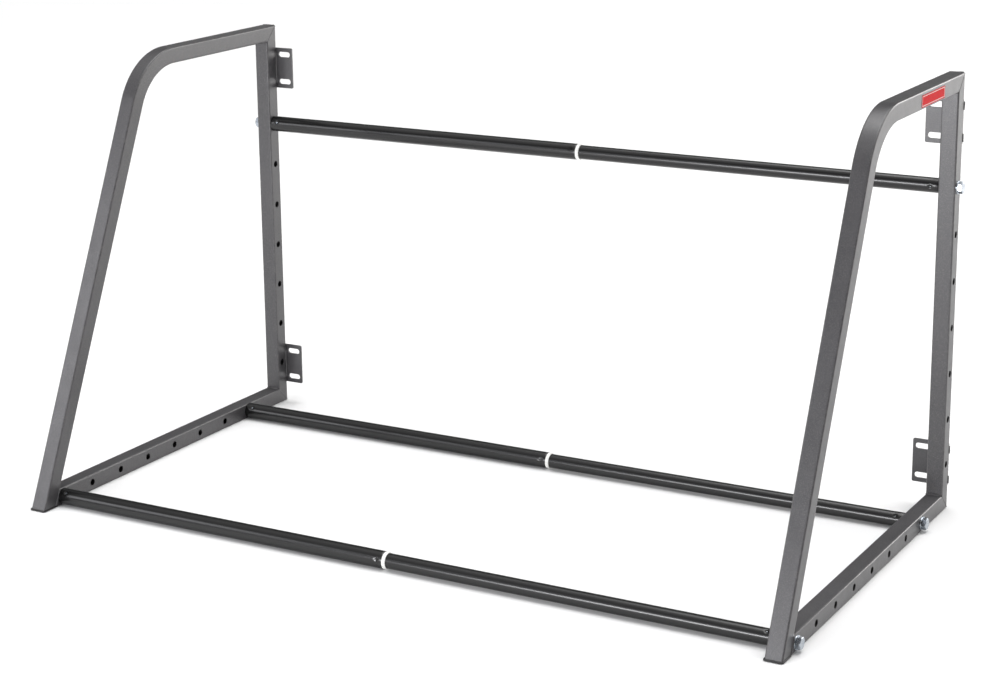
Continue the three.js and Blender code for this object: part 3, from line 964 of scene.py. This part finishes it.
def make_welds(side):
    """Every weld of one side frame, as one piece."""
    x = side * FRAME_X
    beads = frame_beads(x)
    for level in ("upper", "lower"):
        beads += bracket_beads(side, x, level)
    first_seed = 10 if side == LEFT else 0
    points, faces = [], []
    for number, (route, radius) in enumerate(beads):
        mesh = rings_mesh("bead", bead(route, radius, first_seed + number), closed=False)
        start = len(points)
        points += [vertex.co.copy() for vertex in mesh.vertices]
        faces += [tuple(start + vertex for vertex in polygon.vertices) for polygon in mesh.polygons]
        bpy.data.meshes.remove(mesh)
    mesh = finish_mesh(f"{side_name(side)}_frame_welds", points, faces)
    mark_edges(mesh, lambda point: 0.5)
    piece = new_piece(mesh.name, mesh, [POWDER_COAT], WELD_SHARP)
    ridden(piece, body_name(side), "powder_coat")


# ---------------------------------------------------------------- the rack

def bolt_twist(side, number):
    """How far a bolt's head happens to be turned, different at each."""
    return math.radians(11 + 17 * number + 8 * side)


for side in (LEFT, RIGHT):
    make_upright(side)
    make_post(side)
    make_rail(side)
    make_foot_cap(side)
    make_bracket(side, "upper")
    make_bracket(side, "lower")
    make_welds(side)
    for number, bar in enumerate(BARS):
        make_bolt(side, bar, bolt_twist(side, number))
        make_washer(side, bar)
        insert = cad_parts[f"{bar}_{side_name(side)}_insert"]
        insert.data.materials.clear()
        insert.data.materials.append(ZINC)
make_label()

# Staked dents: depths, places along the bar, and degrees above level on the front side.
STAKE = 1.1 * MM
MOUTH_STAKE = 0.55 * MM
STAKE_FROM_END = 12.5 * MM
STAKE_FROM_MOUTH = 9.0 * MM
LEFT_STAKE_TURN = {"front": 47, "rear": 43, "upper": 20}
RIGHT_STAKE_TURN = {"front": 62, "rear": 43, "upper": -4}
MOUTH_STAKE_TURN = {"front": 14, "rear": 20, "upper": 30}

for bar in BARS:
    outer_low, outer_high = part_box(f"{bar}_outer_tube")
    inner_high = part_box(f"{bar}_inner_tube")[1]
    outer_dimples = [
        (outer_low.x + STAKE_FROM_END, LEFT_STAKE_TURN[bar], STAKE),
        (outer_high.x - STAKE_FROM_MOUTH, MOUTH_STAKE_TURN[bar], MOUTH_STAKE),
    ]
    inner_dimples = [(inner_high.x - STAKE_FROM_END, RIGHT_STAKE_TURN[bar], STAKE)]
    make_bar(bar, "outer", OUTER_BAR_RADIUS, OUTER_BAR_RADIUS - OUTER_BAR_WALL, outer_dimples)
    make_bar(bar, "inner", INNER_BAR_RADIUS, INNER_BAR_RADIUS - INNER_BAR_WALL, inner_dimples)
    make_bush(bar)


# ---------------------------------------------------------------- studio

FLOOR_REACH = 30.0
FLOOR_DROP = 0.2 * MM


def make_floor():
    material, tree, shader = node_material("studio_floor")
    mottle = grain(tree, scale=3.0)
    tint = blend_colour(tree, mottle, (0.93, 0.93, 0.93), (0.95, 0.95, 0.95))
    tree.links.new(tint, shader.inputs["Base Color"])
    shader.inputs["Roughness"].default_value = 0.9
    shader.inputs["Specular IOR Level"].default_value = 0.1
    corners = [(x * FLOOR_REACH, y * FLOOR_REACH, 0) for x, y in ((-1, -1), (1, -1), (1, 1), (-1, 1))]
    mesh = finish_mesh("studio_floor", corners, [(0, 1, 2, 3)])
    floor = bpy.data.objects.new("studio_floor", mesh)
    mesh.materials.append(material)
    bpy.context.scene.collection.objects.link(floor)
    floor.location.z = -FLOOR_DROP


def link_light(name, light, at, target):
    """Puts a light at a place, facing its target and unseen by the camera."""
    made = bpy.data.objects.new(name, light)
    made.location = at
    made.rotation_euler = (Vector(target) - Vector(at)).to_track_quat("-Z", "Y").to_euler()
    made.visible_camera = False
    bpy.context.scene.collection.objects.link(made)


def make_panel(name, at, target, size, watts, colour):
    light = bpy.data.lights.new(name, "AREA")
    light.shape = "RECTANGLE"
    light.size, light.size_y = size
    light.energy = watts
    light.color = colour
    link_light(name, light, at, target)


def make_sun(name, at, strength, spread):
    """Even, soft light from the direction of a point, over the whole floor."""
    light = bpy.data.lights.new(name, "SUN")
    light.energy = strength
    light.angle = spread
    link_light(name, light, at, (0, 0, 0))


WARM = (1.0, 0.985, 0.97)
COOL = (0.94, 0.95, 1.0)
FAINTLY_COOL = (0.97, 0.97, 1.0)


def make_lights():
    """A wide sun for the floor, and panels for the reflections: back_right and rim show in the right
    outer faces, front and front_left in the uprights' fronts, and strip along the crossbars."""
    make_sun("key", at=(0.1, 0.75, 2.6), strength=1.95, spread=math.radians(50))
    make_panel(
        "back_right", at=(3.6, 5.2, 1.6), target=(0.6, 0.1, 0.4),
        size=(5.5, 3.0), watts=150, colour=WARM,
    )
    make_panel(
        "rim", at=(2.1, 3.6, 0.95), target=(0.6, 0.0, 0.1),
        size=(0.9, 0.4), watts=18, colour=WARM,
    )
    make_panel(
        "front", at=(-1.3, -3.2, 1.6), target=(0.0, -0.2, 0.2),
        size=(3.0, 2.0), watts=12, colour=COOL,
    )
    make_panel(
        "strip", at=(-0.6, -3.4, 0.6), target=(0.1, -0.3, 0.1),
        size=(1.5, 0.35), watts=60, colour=FAINTLY_COOL,
    )
    make_panel(
        "front_left", at=(-2.8, -2.6, 1.5), target=(-0.6, -0.1, 0.3),
        size=(1.4, 1.2), watts=20, colour=FAINTLY_COOL,
    )


def make_world():
    """Soft surround: a faint glow at the horizon, dark above it and bright overhead."""
    world = bpy.data.worlds.new("studio")
    bpy.context.scene.world = world
    world.use_nodes = True
    tree = world.node_tree
    direction = tree.nodes.new("ShaderNodeTexCoord").outputs["Generated"]
    parts = tree.nodes.new("ShaderNodeSeparateXYZ")
    tree.links.new(direction, parts.inputs[0])
    upward = parts.outputs["Z"]
    horizon = ramp(tree, upward, low=0.42, high=0.05, low_at=0.06, high_at=0.3)
    overhead = ramp(tree, upward, low=0.05, high=1.0, low_at=0.55, high_at=0.97)
    glow = tree.nodes.new("ShaderNodeMath")
    glow.operation = "MAXIMUM"
    tree.links.new(horizon, glow.inputs[0])
    tree.links.new(overhead, glow.inputs[1])
    background = tree.nodes["Background"]
    tree.links.new(glow.outputs[0], background.inputs["Strength"])
    background.inputs["Color"].default_value = (1, 1, 1, 1)


CAMERA_AT = (1.57692, -2.79693, 1.16329)
CAMERA_YAW, CAMERA_PITCH, CAMERA_ROLL = (math.radians(a) for a in (29.588, 14.346, -0.639))
LENS = 80.94
SENSOR_WIDTH = 36.0
SHIFT_X, SHIFT_Y = 0.02156, -0.05534


def make_camera():
    """Yaw turns it left from +Y, pitch turns it down and roll turns it about its own line of sight."""
    data = bpy.data.cameras.new("camera")
    data.lens = LENS
    data.sensor_width = SENSOR_WIDTH
    data.shift_x = SHIFT_X
    data.shift_y = SHIFT_Y
    camera = bpy.data.objects.new("camera", data)
    bpy.context.scene.collection.objects.link(camera)
    flat = math.cos(CAMERA_PITCH)
    ahead_x, ahead_y = -math.sin(CAMERA_YAW), math.cos(CAMERA_YAW)
    forward = Vector((ahead_x * flat, ahead_y * flat, -math.sin(CAMERA_PITCH)))
    level = Vector((math.cos(CAMERA_YAW), math.sin(CAMERA_YAW), 0))
    upward = level.cross(forward)
    right = level * math.cos(CAMERA_ROLL) + upward * math.sin(CAMERA_ROLL)
    up = upward * math.cos(CAMERA_ROLL) - level * math.sin(CAMERA_ROLL)
    turned_to = Matrix((right, up, -forward)).transposed().to_4x4()
    camera.matrix_world = Matrix.Translation(CAMERA_AT) @ turned_to
    bpy.context.scene.camera = camera


make_floor()
make_lights()
make_world()
make_camera()
bpy.context.scene.view_settings.view_transform = "Standard"
